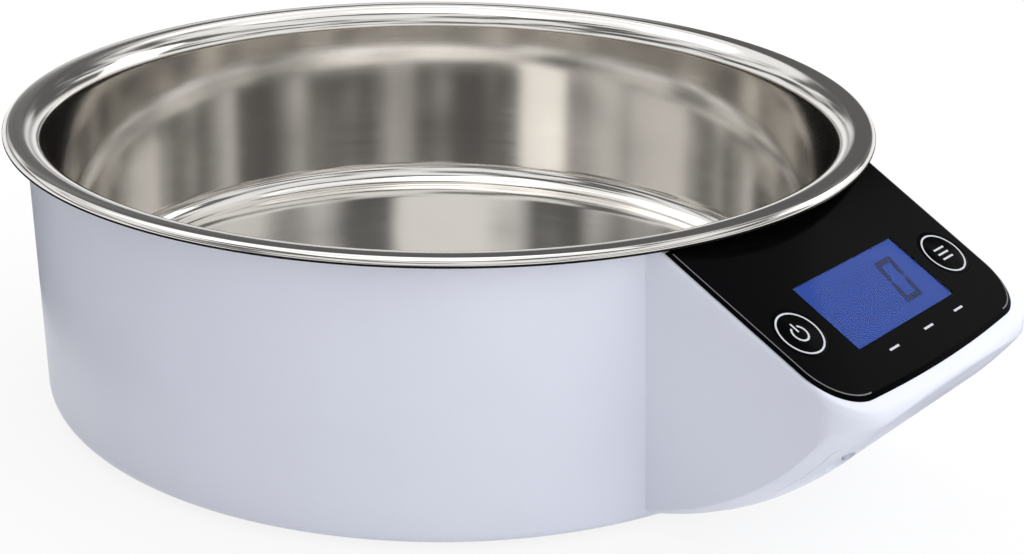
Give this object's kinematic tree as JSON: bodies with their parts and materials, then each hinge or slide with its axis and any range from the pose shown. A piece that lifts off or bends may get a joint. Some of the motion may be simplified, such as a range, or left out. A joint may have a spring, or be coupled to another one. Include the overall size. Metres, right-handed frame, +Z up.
{
  "type": "pet food bowl scale",
  "caption": "Round white kitchen-style scale that holds a lift-out steel pet food bowl, with a sloping black display nose and a blue screen between flush keys.",
  "frame": {"origin": "on the table below the middle of the whole object's footprint", "axes": "+Z up from the feet; the display nose points along -Y, and +X is to the right of a reader of the display"},
  "size_m": [0.22, 0.2606, 0.072],
  "materials": {
    "steel": "satin",
    "white_shell": "gloss",
    "white_inner": "satin",
    "black_panel": "high gloss",
    "window": "clear",
    "lcd_blue": "lit",
    "black_inner": "matt",
    "board_green": "satin",
    "light_guide": "satin",
    "foot_rubber": "matt",
    "pad_rubber": "matt",
    "strip_rubber": "matt",
    "tape": "matt",
    "screw_steel": "plated",
    "cell_aluminium": "satin",
    "seal_white": "matt",
    "lead_grey": "satin",
    "wire_red": "satin",
    "battery_skin": "satin",
    "contact_nickel": "bright"
  },
  "bodies": {
    "base": {"housing": "white_shell", "base_plate": "white_inner", "base_screws": "screw_steel", "rubber_feet": "foot_rubber", "load_cell": "cell_aluminium", "load_cell_screws": "screw_steel", "gauge_seal": "seal_white", "load_cell_lead": "lead_grey", "display_panel": "black_panel", "display_window": "window", "panel_adhesive": "tape", "lcd_glass": "lcd_blue", "lcd_holder": "white_inner", "contact_strips": "strip_rubber", "backlight": "light_guide", "main_board": "board_green", "board_screws": "screw_steel", "board_chips": "black_inner", "switch_bodies": "black_inner", "lead_socket": "white_inner", "nose_cover": "white_shell", "nose_cover_screws": "screw_steel", "battery_left": "battery_skin", "battery_right": "battery_skin", "battery_springs": "contact_nickel", "battery_plates": "contact_nickel", "battery_leads": "wire_red"},
    "platform": {"weighing_platform": "white_inner", "platform_pads": "pad_rubber", "platform_screws": "screw_steel"},
    "bowl": {"steel_bowl": "steel"},
    "zero_button": {"zero_key": "black_panel", "zero_plunger": "white_inner"},
    "mode_button": {"mode_key": "black_panel", "mode_plunger": "white_inner"},
    "door": {"battery_door": "white_shell"}
  },
  "joints": [
    {"name": "platform_sink", "type": "slide", "parent": "base", "child": "platform", "axis": [0, 0, 1], "range_m": [-0.0005, 0], "stiffness_N_per_m": 10000, "springref_m": 0.00047, "deforming": ["load_cell"]},
    {"name": "bowl_lift", "type": "slide", "parent": "platform", "child": "bowl", "axis": [0, 0, 1], "range_m": [0, 0.09]},
    {"name": "zero_press", "type": "slide", "parent": "base", "child": "zero_button", "axis": [0, 0.4571, -0.8894], "range_m": [0, 0.0006], "stiffness_N_per_m": 1500, "springref_m": -0.0002},
    {"name": "mode_press", "type": "slide", "parent": "base", "child": "mode_button", "axis": [0, 0.4571, -0.8894], "range_m": [0, 0.0006], "stiffness_N_per_m": 1500, "springref_m": -0.0002},
    {"name": "door_swing", "type": "hinge", "parent": "base", "child": "door", "pos_m": [0, -0.11902, 0.03007], "axis": [-1, 0, 0], "range_deg": [0, 80]}
  ]
}
